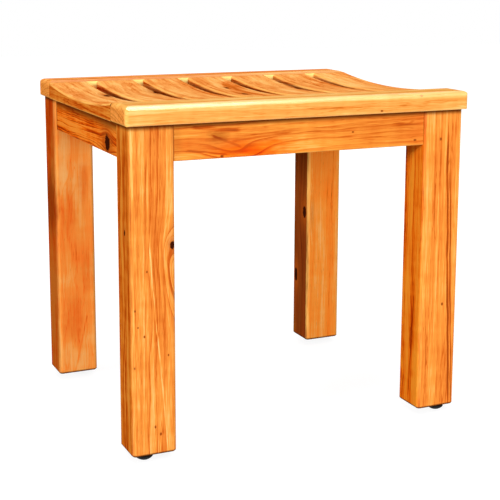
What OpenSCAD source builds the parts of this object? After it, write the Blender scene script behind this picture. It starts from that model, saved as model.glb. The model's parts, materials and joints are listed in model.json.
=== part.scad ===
// Small wooden shower stool and foot rest. Four square legs and four aprons carry
// a slatted seat whose top is scooped from front to back. Black levelling feet
// screw into the legs. Origin: on the floor under the middle of the seat.
// +X runs along the long front from left to right, +Y to the back, +Z up.

/* [Overall] */
// Length of the seat along the front
seat_length = 430; // [380:5:500]
// Depth of the seat from front to back
seat_depth = 355; // [310:5:420]
// Height of the seat rails above the floor
stool_height = 400; // [340:5:460]

/* [Seat] */
// Thickness of the rails and of the stock that the slats are cut from
seat_thickness = 22; // [20:0.5:26]
// Width of the front and back rail
rail_width = 50; // [44:1:60]
// Number of slats between the rails
slat_count = 7; // [5:1:9]
// Width of the open slot between two slats
slot_width = 13; // [8:0.5:16]
// Depth of the scoop at the middle of the seat
scoop_depth = 10.5; // [6:0.5:12]
// Flat strip left on each rail outside the scoop
scoop_margin = 38; // [30:1:44]
// Radius on the long upper edge of each rail
rail_round = 6.5; // [3:0.5:8]
// Radius on the lower edges of the rails and slats
rail_ease = 1.5; // [0.5:0.5:3]
// Radius of the seat's four corners seen from above
seat_corner = 5; // [3:0.5:8]
// Radius on the upper edges of the rails' ends
end_round = 7; // [3:0.5:8]
// Radius on the lower edges of the rails' ends
end_ease = 3; // [0.5:0.5:5]
// Radius on the upper edges of the slats and of the scooped part of the rails' ends
seat_ease = 2.5; // [0.5:0.1:3]
// Length of the stub tenon on each end of a slat
slat_tenon_length = 12; // [8:1:16]
// Thickness of the slat tenons
slat_tenon_thickness = 8; // [6:0.5:10]
// Wood left below the slat tenons
slat_tenon_lift = 6; // [4:0.5:7]
// Shoulder on each side of a slat tenon
slat_shoulder = 8; // [5:0.5:12]

/* [Legs] */
// Width of a leg along the front
leg_width = 52; // [46:1:58]
// Depth of a leg from front to back
leg_depth = 46; // [44:1:56]
// Radius on the four long edges of a leg
leg_round = 5; // [3.5:0.5:8]
// Chamfer round the bottom of a leg
leg_ease = 1.5; // [0.5:0.25:3]
// Seat overhang past the legs at each end
overhang_end = 5; // [2:0.5:12]
// Seat overhang past the legs at the front and back
overhang_front = 4; // [2:0.5:12]

/* [Aprons] */
// Height of the aprons
apron_height = 41; // [38:1:60]
// Thickness of the aprons
apron_thickness = 20; // [18:0.5:22]
// Step from the leg face back to the apron face
apron_inset = 4; // [2:0.5:6]
// Radius on the lower edges of the aprons
apron_ease = 1.5; // [0.5:0.5:3]
// Length of the apron tenons
tenon_length = 22; // [14:1:24]
// Thickness of the apron tenons
tenon_thickness = 10; // [8:0.5:12]
// Shoulder above and below an apron tenon
tenon_shoulder = 6; // [4:0.5:9]

/* [Corner blocks] */
// How far the corner blocks run past the legs along the front and back
block_run = 52; // [44:1:65]
// Height of the corner blocks
block_height = 30; // [24:1:34]
// Thickness left at the two tips of a corner block
block_tip = 6; // [3:0.5:10]
// Wood left under the head of a corner block screw
block_seat = 12; // [8:1:16]

/* [Screws] */
// Diameter of the wood screws
screw_diameter = 4; // [3:0.5:5]
// Diameter of the screw heads
screw_head = 8; // [7:0.5:9]
// How far the corner block screws bite into the aprons
block_bite = 14; // [10:0.5:16]
// Length of the screws that hold the seat
seat_screw_length = 32; // [26:1:38]
// How far the seat screws bite into the rails
seat_bite = 13; // [9:1:15]
// Number of seat screws in each long apron
seat_screw_count = 3; // [2:1:4]

/* [Feet] */
// Diameter of the foot pads
pad_diameter = 20; // [16:0.5:28]
// Height of the foot pads
pad_height = 6; // [5.5:0.5:10]
// Diameter of the flat that a pad stands on
pad_flat = 7; // [5:0.5:12]
// Height of the domed underside round that flat
pad_dome = 4; // [2:0.25:4.5]
// How far each foot stands outwards from the middle of its leg, along X and along Y
foot_shift = 8.5; // [0:0.5:9]
// How far each foot is screwed out of its leg as the stool stands
foot_out = 2.5; // [1:0.25:6]
// Diameter of the foot studs
stud_diameter = 6; // [5:0.5:8]
// Length of stud inside the leg as the stool stands
stud_reach = 22; // [20:0.5:26]
// Outer diameter of the threaded inserts
insert_diameter = 10; // [9:0.5:13]
// Length of the threaded inserts
insert_length = 13; // [9:0.5:15]
// Diameter of the flange on an insert
flange_diameter = 13; // [12:0.5:16]
// Thickness of the flange on an insert
flange_thickness = 1.2; // [0.8:0.1:2]

/* [Clearances] */
// Space round a tenon in its mortise
glue_gap = 0.1; // [0.05:0.05:0.3]
// Space past the end of a tenon
tenon_end_gap = 0.6; // [0.2:0.1:0.9]
// Space round a screw in its hole
screw_gap = 0.1; // [0.05:0.05:0.3]
// Space round a screw head in its counterbore
head_gap = 0.5; // [0.2:0.1:0.8]
// Radial space between a stud and its insert
thread_gap = 0.08; // [0.05:0.01:0.15]
// Space past the end of a stud at the top of its hole
bore_end_gap = 5; // [3:0.5:8]

/* [Hidden] */
$fn = 96;
// Facets round the very large circle of the scoop
scoop_fn = 720;
// How far a cut runs past the face that it opens
past = 1;

// Each corner of the stool: its name, then which way it lies along X and Y
CORNERS = [
    ["front_left", -1, -1], ["front_right", 1, -1],
    ["back_left", -1, 1], ["back_right", 1, 1],
];

// Levels above the floor
leg_bottom = pad_height + foot_out;
seat_bottom = stool_height - seat_thickness;
apron_bottom = seat_bottom - apron_height;

// Outer faces of the legs, measured from the middle of the stool
half_x = seat_length / 2 - overhang_end;
half_y = seat_depth / 2 - overhang_front;

// Slats, and the scoop: an arc whose chord spans the space between the flat strips
slat_width = (seat_length - (slat_count - 1) * slot_width) / slat_count;
slat_length = seat_depth - 2 * rail_width;
half_chord = seat_depth / 2 - scoop_margin;
scoop_radius = (pow(half_chord, 2) + pow(scoop_depth, 2)) / (2 * scoop_depth);
scoop_angle = asin((half_chord + past) / scoop_radius);

// Aprons, measured between the legs that they join
long_apron = 2 * (half_x - leg_width);
side_apron = 2 * (half_y - leg_depth);
apron_middle = apron_inset + apron_thickness / 2;
apron_back = apron_inset + apron_thickness;
seat_screw_pitch = long_apron / (seat_screw_count + 1);

// Corner blocks, whose wings end equally far from the outer corner of the leg, and
// their screws, half way along each wing
block_end = leg_width + block_run;
block_screw_x = (leg_width + block_end) / 2;
block_screw_y = (leg_depth + block_end) / 2;
block_middle = seat_bottom - block_height / 2;

// Screw heads, their cross recess and the screw points
head_height = screw_head / 3;
head_crown = screw_head / 6;
recess_depth = head_height / 2;
recess_length = screw_head / 2;
recess_width = screw_diameter / 4;
point_length = screw_diameter;

// Holes for the feet, measured from the outer corner of the leg, and the end of each
// stud inside its pad
foot_x = leg_width / 2 - foot_shift;
foot_y = leg_depth / 2 - foot_shift;
foot_bore = stud_reach + bore_end_gap;
stud_socket = pad_height * 2 / 3;
stud_chamfer = stud_diameter / 6;
pad_chamfer = (pad_height - pad_dome) / 2;

// The dome of a pad is part of a sphere through the edge of the flat and the rim
dome_middle = (pow(pad_diameter, 2) - pow(pad_flat, 2)) / (8 * pad_dome) + pad_dome / 2;
dome_radius = sqrt(pow(dome_middle, 2) + pow(pad_flat / 2, 2));

// Moves a child to one corner of the stool. The child's own axes start at the
// outer vertical edge of the leg, with +x and +y running inwards.
module at_corner(c)
    translate([c[1] * half_x, c[2] * half_y, 0])
        mirror([c[1] > 0 ? 1 : 0, 0, 0])
            mirror([0, c[2] > 0 ? 1 : 0, 0])
                children();

// Moves a child to the foot of one leg
module at_foot(c)
    at_corner(c) translate([foot_x, foot_y, 0]) children();

// Rectangle with its first corner at the origin and all four corners rounded
module rounded_rectangle(w, d, r) {
    for (x = [r, w - r], y = [r, d - r]) translate([x, y]) circle(r);
    translate([r, 0]) square([w - 2 * r, d]);
    translate([0, r]) square([w, d - 2 * r]);
}

// Outline of a leg seen square on, chamfered at the lower corners
function leg_outline(s, h, e) =
    [[e, 0], [s - e, 0], [s, e], [s, h], [0, h], [0, e]];

// Upright bar with rounded long edges and a chamfer round its lower end
module leg_bar(w, d, h, r, e) {
    for (x = [r, w - r], y = [r, d - r])
        translate([x, y, 0])
            rotate_extrude()
                polygon([[0, 0], [r - e, 0], [r, e], [r, h], [0, h]]);
    translate([0, d - r, 0])
        rotate([90, 0, 0])
            linear_extrude(d - 2 * r) polygon(leg_outline(w, h, e));
    translate([r, 0, 0])
        rotate([90, 0, 90])
            linear_extrude(w - 2 * r) polygon(leg_outline(d, h, e));
}

// Wood screw along +z, with the underside of its pan head at z = 0
module wood_screw(length) {
    r = screw_diameter / 2;
    head_r = screw_head / 2;
    difference() {
        rotate_extrude()
            polygon([
                [0, -head_height], [head_r - head_crown, -head_height],
                [head_r, head_crown - head_height], [head_r, 0], [r, 0],
                [r, length - point_length], [0, length],
            ]);
        for (a = [0, 90])
            rotate([0, 0, a])
                translate([-recess_length / 2, -recess_width / 2, -head_height - past])
                    cube([recess_length, recess_width, past + recess_depth]);
    }
}

// Clearance round a wood screw: a hole for its shank and a wider one for its head
module screw_space(length, head_way) {
    cylinder(h = length + screw_gap, d = screw_diameter + 2 * screw_gap);
    translate([0, 0, -head_way])
        cylinder(h = head_way, d = screw_head + 2 * head_gap);
}

// Places a child at each seat screw of the front apron, with z = 0 at the seat of
// the screw's head
module at_seat_screws()
    for (i = [1 : seat_screw_count])
        translate([
            i * seat_screw_pitch - long_apron / 2,
            apron_middle - half_y,
            seat_bottom + seat_bite - seat_screw_length,
        ])
            children();

// Places a child at both screws of a corner block, in the corner's own axes
module at_block_screws() {
    translate([block_screw_x, apron_back + block_seat, block_middle])
        rotate([90, 0, 0]) children();
    translate([apron_back + block_seat, block_screw_y, block_middle])
        rotate([0, -90, 0]) children();
}

module block_screw_space()
    at_block_screws() screw_space(block_seat + block_bite, block_end);

// Mortises for the two aprons that meet at a leg, in the corner's own axes
module leg_mortises() {
    slot = tenon_thickness + 2 * glue_gap;
    depth = tenon_length + tenon_end_gap;
    height = apron_height - 2 * tenon_shoulder + 2 * glue_gap;
    level = apron_bottom + tenon_shoulder - glue_gap;
    translate([leg_width - depth, apron_middle - slot / 2, level])
        cube([depth + past, slot, height]);
    translate([apron_middle - slot / 2, leg_depth - depth, level])
        cube([slot, depth + past, height]);
}

// Hole in the lower end of a leg for the insert and the stud of its foot
module foot_hole() {
    translate([foot_x, foot_y, leg_bottom - past]) {
        cylinder(h = past + flange_thickness, d = flange_diameter + 2 * glue_gap);
        cylinder(h = past + foot_bore, d = insert_diameter + 2 * glue_gap);
    }
}

module leg(c)
    color("sandybrown")
        at_corner(c)
            difference() {
                translate([0, 0, leg_bottom])
                    leg_bar(leg_width, leg_depth, seat_bottom - leg_bottom,
                            leg_round, leg_ease);
                leg_mortises();
                foot_hole();
            }

// Section of an apron: its outer face at x = 0 and its lower edges rounded
module apron_section() {
    for (x = [apron_ease, apron_thickness - apron_ease])
        translate([x, apron_ease]) circle(apron_ease);
    translate([apron_ease, 0])
        square([apron_thickness - 2 * apron_ease, apron_height]);
    translate([0, apron_ease])
        square([apron_thickness, apron_height - apron_ease]);
}

// Apron along x with a tenon at each end, its outer face at y = 0
module apron_bar(length) {
    rotate([90, 0, 90]) linear_extrude(length, center = true) apron_section();
    translate([-length / 2 - tenon_length,
               (apron_thickness - tenon_thickness) / 2, tenon_shoulder])
        cube([length + 2 * tenon_length, tenon_thickness,
              apron_height - 2 * tenon_shoulder]);
}

module front_apron()
    difference() {
        translate([0, apron_inset - half_y, apron_bottom]) apron_bar(long_apron);
        at_seat_screws() screw_space(seat_screw_length, apron_height);
        for (c = CORNERS) at_corner(c) block_screw_space();
    }

module left_apron()
    difference() {
        translate([apron_inset - half_x, 0, apron_bottom])
            rotate([0, 0, -90]) apron_bar(side_apron);
        for (c = CORNERS) at_corner(c) block_screw_space();
    }

// Block across the inside of a corner, notched round the leg
module corner_block(c)
    color("burlywood")
        at_corner(c)
            difference() {
                translate([0, 0, seat_bottom - block_height])
                    linear_extrude(block_height)
                        polygon([
                            [leg_width, apron_back],
                            [block_end, apron_back],
                            [block_end, apron_back + block_tip],
                            [apron_back + block_tip, block_end],
                            [apron_back, block_end],
                            [apron_back, leg_depth],
                            [leg_width, leg_depth],
                        ]);
                block_screw_space();
            }

// What the scoop takes off a piece that lies between two places along x. It is a
// band turned about an axis high above the seat, and it flares at both ends so that
// the piece's upper edges are left rounded.
module scoop(from, to)
    translate([0, 0, stool_height - scoop_depth + scoop_radius])
        rotate([0, 90, 0])
            rotate_extrude(angle = 2 * scoop_angle, start = -scoop_angle, $fn = scoop_fn) {
                translate([scoop_radius - scoop_depth - past, from - past])
                    square([scoop_depth + past, to - from + 2 * past]);
                scoop_flare(from, 1);
                scoop_flare(to, -1);
            }

// Flare at one end of the scoop's band: a square corner less the rounded edge
module scoop_flare(end, inwards)
    difference() {
        translate([scoop_radius, end + inwards * (seat_ease - past) / 2])
            square([2 * seat_ease, seat_ease + past], center = true);
        translate([scoop_radius + seat_ease, end + inwards * seat_ease])
            circle(seat_ease);
    }

// Section of a rail: its outer edge at x = 0, rounded above and eased below
module rail_section() {
    translate([rail_round, seat_thickness - rail_round]) circle(rail_round);
    translate([rail_ease, rail_ease]) circle(rail_ease);
    translate([rail_round, rail_ease])
        square([rail_width - rail_round, seat_thickness - rail_ease]);
    translate([0, rail_ease])
        square([rail_width, seat_thickness - rail_ease - rail_round]);
    translate([rail_ease, 0]) square([rail_width - rail_ease, rail_ease]);
}

// Outline of a rail seen from the front: its ends rounded above and eased below
module rail_front() {
    for (side = [-1, 1]) {
        translate([side * (seat_length / 2 - end_round), seat_thickness - end_round])
            circle(end_round);
        translate([side * (seat_length / 2 - end_ease), end_ease]) circle(end_ease);
    }
    translate([-seat_length / 2, end_ease])
        square([seat_length, seat_thickness - end_round - end_ease]);
    translate([end_round - seat_length / 2, end_ease])
        square([seat_length - 2 * end_round, seat_thickness - end_ease]);
    translate([end_ease - seat_length / 2, 0])
        square([seat_length - 2 * end_ease, seat_thickness - end_round]);
}

// Left end of a slat along x
function slat_start(i) = (i - 1) * (slat_width + slot_width) - seat_length / 2;

// Mortises in the front rail for the slats
module rail_mortises()
    for (i = [1 : slat_count])
        translate([
            slat_start(i) + slat_shoulder - glue_gap,
            -slat_length / 2 - slat_tenon_length - tenon_end_gap,
            seat_bottom + slat_tenon_lift - glue_gap,
        ])
            cube([
                slat_width - 2 * slat_shoulder + 2 * glue_gap,
                slat_tenon_length + tenon_end_gap + past,
                slat_tenon_thickness + 2 * glue_gap,
            ]);

// The front rail. The back rail is its mirror image.
module seat_rail()
    color("wheat")
        difference() {
            intersection() {
                translate([0, -seat_depth / 2, seat_bottom])
                    rotate([90, 0, 90])
                        linear_extrude(seat_length, center = true) rail_section();
                translate([-seat_length / 2, -seat_depth / 2, seat_bottom])
                    linear_extrude(seat_thickness)
                        rounded_rectangle(seat_length, seat_depth, seat_corner);
                translate([0, 0, seat_bottom])
                    rotate([90, 0, 0])
                        linear_extrude(seat_depth, center = true) rail_front();
            }
            scoop(-seat_length / 2, seat_length / 2);
            rail_mortises();
            at_seat_screws() screw_space(seat_screw_length, apron_height);
        }

// Section of a slat before the scoop is cut, its lower edges rounded
module slat_section() {
    for (x = [rail_ease, slat_width - rail_ease])
        translate([x, rail_ease]) circle(rail_ease);
    translate([rail_ease, 0]) square([slat_width - 2 * rail_ease, seat_thickness]);
    translate([0, rail_ease]) square([slat_width, seat_thickness - rail_ease]);
}

module slat(i)
    color("sandybrown")
        difference() {
            union() {
                translate([slat_start(i), 0, seat_bottom])
                    rotate([90, 0, 0])
                        linear_extrude(slat_length, center = true) slat_section();
                translate([
                    slat_start(i) + slat_shoulder,
                    -slat_length / 2 - slat_tenon_length,
                    seat_bottom + slat_tenon_lift,
                ])
                    cube([
                        slat_width - 2 * slat_shoulder,
                        slat_length + 2 * slat_tenon_length,
                        slat_tenon_thickness,
                    ]);
            }
            scoop(slat_start(i), slat_start(i) + slat_width);
        }

module corner_block_screws()
    color("silver")
        for (c = CORNERS)
            at_corner(c) at_block_screws() wood_screw(block_seat + block_bite);

module seat_screws()
    color("silver")
        for (m = [0, 1])
            mirror([0, m, 0]) at_seat_screws() wood_screw(seat_screw_length);

// Threaded insert in the end of a leg, with its flange flush with the leg
module insert(c)
    color("goldenrod")
        at_foot(c)
            translate([0, 0, leg_bottom])
                difference() {
                    union() {
                        cylinder(h = flange_thickness, d = flange_diameter);
                        cylinder(h = insert_length, d = insert_diameter);
                    }
                    translate([0, 0, -past])
                        cylinder(h = insert_length + 2 * past,
                                 d = stud_diameter + 2 * thread_gap);
                }

module foot_stud(c)
    color("gray")
        at_foot(c)
            translate([0, 0, pad_height - stud_socket])
                rotate_extrude() {
                    r = stud_diameter / 2;
                    length = stud_socket + foot_out + stud_reach;
                    polygon([[0, 0], [r, 0], [r, length - stud_chamfer],
                             [r - stud_chamfer, length], [0, length]]);
                }

module foot_pad(c)
    color("black")
        at_foot(c)
            difference() {
                union() {
                    intersection() {
                        translate([0, 0, dome_middle]) sphere(dome_radius);
                        cylinder(h = pad_dome, d = pad_diameter);
                    }
                    translate([0, 0, pad_dome]) cylinder(h = pad_chamfer, d = pad_diameter);
                    translate([0, 0, pad_height - pad_chamfer])
                        cylinder(h = pad_chamfer, d1 = pad_diameter,
                                 d2 = pad_diameter - 2 * pad_chamfer);
                }
                translate([0, 0, pad_height - stud_socket])
                    cylinder(h = stud_socket + past, d = stud_diameter);
            }

for (c = CORNERS) leg(c);
color("peru") front_apron();  // apron_front
color("peru") mirror([0, 1, 0]) front_apron();  // apron_back
color("peru") left_apron();  // apron_left
color("peru") mirror([1, 0, 0]) left_apron();  // apron_right
for (c = CORNERS)
    corner_block(c);
seat_rail();  // seat_rail_front
mirror([0, 1, 0]) seat_rail();  // seat_rail_back
for (i = [1 : slat_count]) slat(i);
corner_block_screws();
seat_screws();
for (c = CORNERS) insert(c);
for (c = CORNERS) foot_stud(c);
for (c = CORNERS) foot_pad(c);
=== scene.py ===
import json
import math
from types import SimpleNamespace

import bpy
from mathutils import Matrix, Vector

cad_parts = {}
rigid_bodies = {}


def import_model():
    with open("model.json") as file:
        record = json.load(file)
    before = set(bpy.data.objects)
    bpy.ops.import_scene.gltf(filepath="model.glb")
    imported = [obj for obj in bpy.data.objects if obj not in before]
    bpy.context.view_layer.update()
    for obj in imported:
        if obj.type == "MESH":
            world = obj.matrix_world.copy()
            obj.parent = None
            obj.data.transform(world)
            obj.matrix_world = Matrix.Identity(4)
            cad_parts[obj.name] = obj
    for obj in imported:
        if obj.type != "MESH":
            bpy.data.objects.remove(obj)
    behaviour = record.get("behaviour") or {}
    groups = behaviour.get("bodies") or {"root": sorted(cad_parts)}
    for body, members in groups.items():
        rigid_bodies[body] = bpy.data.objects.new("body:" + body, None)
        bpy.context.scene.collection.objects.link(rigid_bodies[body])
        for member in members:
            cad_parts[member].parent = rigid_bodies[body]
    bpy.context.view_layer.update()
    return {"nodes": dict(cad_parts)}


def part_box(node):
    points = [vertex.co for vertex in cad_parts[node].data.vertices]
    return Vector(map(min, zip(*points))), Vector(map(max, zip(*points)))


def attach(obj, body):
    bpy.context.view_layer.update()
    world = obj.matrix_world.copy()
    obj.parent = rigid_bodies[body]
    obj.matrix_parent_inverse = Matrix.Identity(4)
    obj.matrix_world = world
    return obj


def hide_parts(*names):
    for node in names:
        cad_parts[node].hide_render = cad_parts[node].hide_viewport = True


for leftover in list(bpy.data.objects):
    bpy.data.objects.remove(leftover)

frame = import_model()
scene = bpy.context.scene

# Sizes and places below are in millimetres unless a comment says otherwise
MM = 0.001
# Farther out than any place on the part
NOWHERE = 9999
CORNERS = ("front_left", "front_right", "back_left", "back_right")


def box_mm(node):
    """A node's lowest and highest corner."""
    return [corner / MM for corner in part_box(node)]


# The planes that the marks on the wood lie on, and the joints between the boards
LEG_LOW, LEG_HIGH = box_mm("leg_front_left")
LEFT_FACE, FRONT_FACE, SOLE = LEG_LOW
INNER_X, INNER_Y, SEAT_UNDERSIDE = -LEG_HIGH.x, -LEG_HIGH.y, LEG_HIGH.z
APRON_FACE = box_mm("apron_front")[0].y
APRON_SIDE_FACE = box_mm("apron_left")[0].x
RAIL_FACE = box_mm("seat_rail_front")[0].y

# The scoop's arc along the depth: its lowest height and its radius
SCOOP_BOTTOM = 389.5
SCOOP_RADIUS = 932.0


# Node helpers
class Graph:
    """Adds nodes to one node tree and joins them."""

    def __init__(self, tree):
        self.tree = tree

    def put(self, socket, value):
        if isinstance(value, bpy.types.NodeSocket):
            self.tree.links.new(value, socket)
        else:
            socket.default_value = value

    def add(self, kind, sockets=None, **settings):
        node = self.tree.nodes.new(kind)
        for name, value in settings.items():
            setattr(node, name, value)
        for name, value in (sockets or {}).items():
            self.put(node.inputs[name], value)
        return node

    def use(self, group, values):
        """Adds a node group and gives its outputs."""
        node = self.add("ShaderNodeGroup", node_tree=group)
        for name, value in values.items():
            self.put(node.inputs[name], value)
        return node.outputs

    def math(self, operation, *values):
        node = self.add("ShaderNodeMath", operation=operation)
        for socket, value in zip(node.inputs, values):
            self.put(socket, value)
        return node.outputs[0]

    def times(self, *values):
        """The product of two or more numbers."""
        product = values[0]
        for value in values[1:]:
            product = self.math("MULTIPLY", product, value)
        return product

    def vector(self, operation, *values, scale=None):
        node = self.add("ShaderNodeVectorMath", operation=operation)
        for socket, value in zip(node.inputs, values):
            self.put(socket, value)
        if operation == "SCALE":
            self.put(node.inputs["Scale"], scale)
        return node.outputs["Value" if operation in ("LENGTH", "DOT_PRODUCT") else "Vector"]

    def split(self, vector):
        return self.add("ShaderNodeSeparateXYZ", {"Vector": vector}).outputs

    def stretch(self, vector, x, y, z):
        return self.vector("MULTIPLY", vector, (x, y, z))

    def noise(self, point, detail=2.0, rough=0.5, color=False):
        node = self.add(
            "ShaderNodeTexNoise", {"Vector": point, "Scale": 1.0, "Detail": detail, "Roughness": rough})
        return node.outputs["Color" if color else "Fac"]

    def noise_1d(self, at, detail):
        node = self.add(
            "ShaderNodeTexNoise", {"W": at, "Scale": 1.0, "Detail": detail}, noise_dimensions="1D")
        return node.outputs["Fac"]

    def grain(self, point, along, across, detail=2.0, rough=0.5, color=False):
        """Noise with this many changes per unit of length along X and across it."""
        return self.noise(self.stretch(point, along, across, across), detail, rough, color)

    def drift(self, point, along, across):
        """A vector about zero that changes with the place."""
        return self.vector("SUBTRACT", self.grain(point, along, across, color=True), (0.5, 0.5, 0.5))

    def spread(self, value, low, high, to_low=0.0, to_high=1.0, smooth=False):
        """value taken from low..high to to_low..to_high and held there."""
        node = self.add(
            "ShaderNodeMapRange",
            {"Value": value, "From Min": low, "From Max": high, "To Min": to_low, "To Max": to_high},
            interpolation_type="SMOOTHSTEP" if smooth else "LINEAR",
        )
        return node.outputs["Result"]

    def soft(self, value, low, high, to_low=0.0, to_high=1.0):
        """spread with soft ends."""
        return self.spread(value, low, high, to_low, to_high, smooth=True)

    def ramp(self, value, stops):
        """A grey ramp through each (place, level)."""
        node = self.add("ShaderNodeValToRGB", {"Fac": value})
        elements = node.color_ramp.elements
        while len(elements) < len(stops):
            elements.new(0.5)
        for element, (place, level) in zip(elements, stops):
            element.position = place
            element.color = (level, level, level, 1)
        return node.outputs["Color"]

    def mix(self, amount, first, second, blend="MIX"):
        node = self.add("ShaderNodeMix", data_type="RGBA", blend_type=blend, clamp_factor=True)
        for index, value in ((0, amount), (6, first), (7, second)):
            self.put(node.inputs[index], value)
        return node.outputs[2]

    def highest(self, *values):
        """The largest of two or more numbers."""
        top = values[-1]
        for value in reversed(values[:-1]):
            top = self.math("MAXIMUM", value, top)
        return top

    def weighted(self, start, *terms):
        """start plus each (value, weight), with the value taken about its middle of one half."""
        total = start
        for value, weight in terms:
            total = self.math("MULTIPLY_ADD", self.math("SUBTRACT", value, 0.5), weight, total)
        return total


SOCKETS = {"vector": "NodeSocketVector", "number": "NodeSocketFloat", "color": "NodeSocketColor"}


def new_group(name, inputs, outputs):
    """An empty node group, its graph, its inputs by name and its output node."""
    tree = bpy.data.node_groups.new(name, "ShaderNodeTree")
    for side, listed in (("INPUT", inputs), ("OUTPUT", outputs)):
        for kind, names in listed.items():
            for socket in names.split(", "):
                tree.interface.new_socket(socket, in_out=side, socket_type=SOCKETS[kind])
    graph = Graph(tree)
    source = graph.add("NodeGroupInput")
    return tree, graph, source.outputs, graph.add("NodeGroupOutput").inputs


def new_material(name):
    """A material, its graph and its shader node."""
    material = bpy.data.materials.new(name)
    material.use_nodes = True
    return material, Graph(material.node_tree), material.node_tree.nodes["Principled BSDF"]


def dress(node, material):
    for slot in frame["nodes"][node].material_slots:
        slot.material = material


# Marks on the wood: knots, pin knots, single lines and stains
def make_knot_group():
    """Bends the grain round one branch, and marks its dark core and its reddish rim."""
    tree, graph, given, out = new_group(
        "wood_knot",
        {
            "vector": "Point, Centre, Across, Branch",
            "number": "Rings, Core, Rim, Swirl, Depth, Radius, Long, Reach, Reach Long, Bend, Hill, Dark",
        },
        {"vector": "Point", "number": "Rings, Core, Rim, Swirl"},
    )
    away = graph.vector("SUBTRACT", given["Point"], given["Centre"])
    raggedness = graph.times(given["Radius"], 0.9)
    ragged = graph.vector("SCALE", graph.drift(given["Point"], 0.25, 0.5), scale=raggedness)
    rough_away = graph.vector("ADD", away, ragged)
    deep = graph.math("ABSOLUTE", graph.vector("DOT_PRODUCT", away, given["Branch"]))
    inside = graph.soft(deep, given["Depth"], graph.times(given["Depth"], 0.7))

    def hill(place, across_size, along_size):
        u = graph.math("DIVIDE", graph.split(place)["X"], along_size)
        v = graph.math("DIVIDE", graph.vector("DOT_PRODUCT", place, given["Across"]), across_size)
        square = graph.math("MULTIPLY_ADD", u, u, graph.times(v, v))
        return graph.times(graph.math("EXPONENT", graph.times(square, -1.0)), inside)

    core = hill(rough_away, given["Radius"], graph.times(given["Radius"], given["Long"]))
    rim_along = graph.times(given["Radius"], 2.6, given["Long"])
    rim = hill(rough_away, graph.times(given["Radius"], 2.1), rim_along)
    wide_across = graph.times(given["Radius"], given["Reach"])
    wide = hill(away, wide_across, graph.times(wide_across, given["Reach Long"]))
    push = graph.times(wide, given["Bend"], graph.vector("DOT_PRODUCT", away, given["Across"]))
    swirl = graph.times(wide, graph.math("MINIMUM", given["Hill"], 1.0))
    pushed = graph.vector("SCALE", given["Across"], scale=push)
    graph.put(out["Point"], graph.vector("SUBTRACT", given["Point"], pushed))
    graph.put(out["Rings"], graph.math("MULTIPLY_ADD", wide, given["Hill"], given["Rings"]))
    graph.put(out["Swirl"], graph.highest(given["Swirl"], swirl))
    dark_core = graph.times(graph.soft(core, 0.28, 0.5), given["Dark"])
    graph.put(out["Core"], graph.highest(given["Core"], dark_core))
    graph.put(out["Rim"], graph.highest(given["Rim"], graph.times(rim, given["Dark"])))
    return tree


SPECK_DARK = 0.72
SPECK_LONG = 1.5


def make_speck_group():
    """Marks one small pin knot."""
    tree, graph, given, out = new_group(
        "wood_speck",
        {"vector": "Point, Centre", "number": "Core, Rim, Radius"},
        {"number": "Core, Rim"},
    )
    away = graph.vector("SUBTRACT", given["Point"], given["Centre"])
    away = graph.vector("DIVIDE", away, (SPECK_LONG, 1, 1))
    size = graph.math("DIVIDE", graph.vector("LENGTH", away), given["Radius"])
    speck = graph.times(graph.soft(size, 1.0, 0.45), SPECK_DARK)
    graph.put(out["Core"], graph.highest(given["Core"], speck))
    graph.put(out["Rim"], graph.highest(given["Rim"], graph.soft(size, 1.7, 0.7)))
    return tree


LINE_WANDER = 6.0


def make_line_group():
    """Marks one dark or pale line that a growth ring draws along the board, from one point to another."""
    tree, graph, given, out = new_group(
        "wood_line",
        {"vector": "Point, From, To, Across", "number": "Lines, Width, Dark"},
        {"number": "Lines"},
    )
    course = graph.vector("SUBTRACT", given["To"], given["From"])
    away = graph.vector("SUBTRACT", given["Point"], given["From"])
    along = graph.math("DIVIDE", graph.split(away)["X"], graph.split(course)["X"])
    away = graph.vector("SUBTRACT", away, graph.vector("SCALE", course, scale=along))
    wander = graph.math("SUBTRACT", graph.grain(given["Point"], 0.012, 0.02), 0.5)
    straight_off = graph.vector("DOT_PRODUCT", away, given["Across"])
    off = graph.math("MULTIPLY_ADD", wander, LINE_WANDER, straight_off)
    line = graph.soft(graph.math("DIVIDE", graph.math("ABSOLUTE", off), given["Width"]), 1.0, 0.2)
    ends = graph.times(graph.soft(along, -0.12, 0.06), graph.soft(along, 1.12, 0.94))
    patchy = graph.spread(graph.grain(given["Point"], 0.03, 0.4), 0.3, 0.6, 0.35, 1.0)
    drawn = graph.times(line, ends, patchy)
    graph.put(out["Lines"], graph.math("MULTIPLY_ADD", drawn, given["Dark"], given["Lines"]))
    return tree


def make_stain_group():
    """Tints one soft-edged patch of the surface."""
    tree, graph, given, out = new_group(
        "wood_stain",
        {"vector": "Point, Centre, Size", "color": "Color, Tint", "number": "Amount"},
        {"color": "Color"},
    )
    away = graph.vector("DIVIDE", graph.vector("SUBTRACT", given["Point"], given["Centre"]), given["Size"])
    ragged = graph.grain(given["Point"], 0.045, 0.16, detail=3, rough=0.6)
    size = graph.weighted(graph.vector("LENGTH", away), (ragged, 1.1))
    amount = graph.times(graph.soft(size, 1.0, 0.25), given["Amount"])
    graph.put(out["Color"], graph.mix(amount, given["Color"], given["Tint"], blend="MULTIPLY"))
    return tree


# The wood itself
# Each figure's changes per millimetre along and across the grain, its detail and its roughness
FIGURES = {
    "band": (0.0025, 0.075, 1, 0.5),
    "stripe": (0.0065, 0.26, 2, 0.6),
    "fibre": (0.035, 0.85, 3, 0.6),
    "thread": (0.009, 0.17, 3, 0.55),
    "dash": (0.10, 1.5, 1, 0.5),
    "cloud": (0.012, 0.032, 2, 0.5),
    "ripple": (0.085, 0.03, 1, 0.5),
    "speckle": (0.6, 0.6, 3, 0.6),
    "wear": (0.03, 0.2, 2, 0.5),
}
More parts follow.
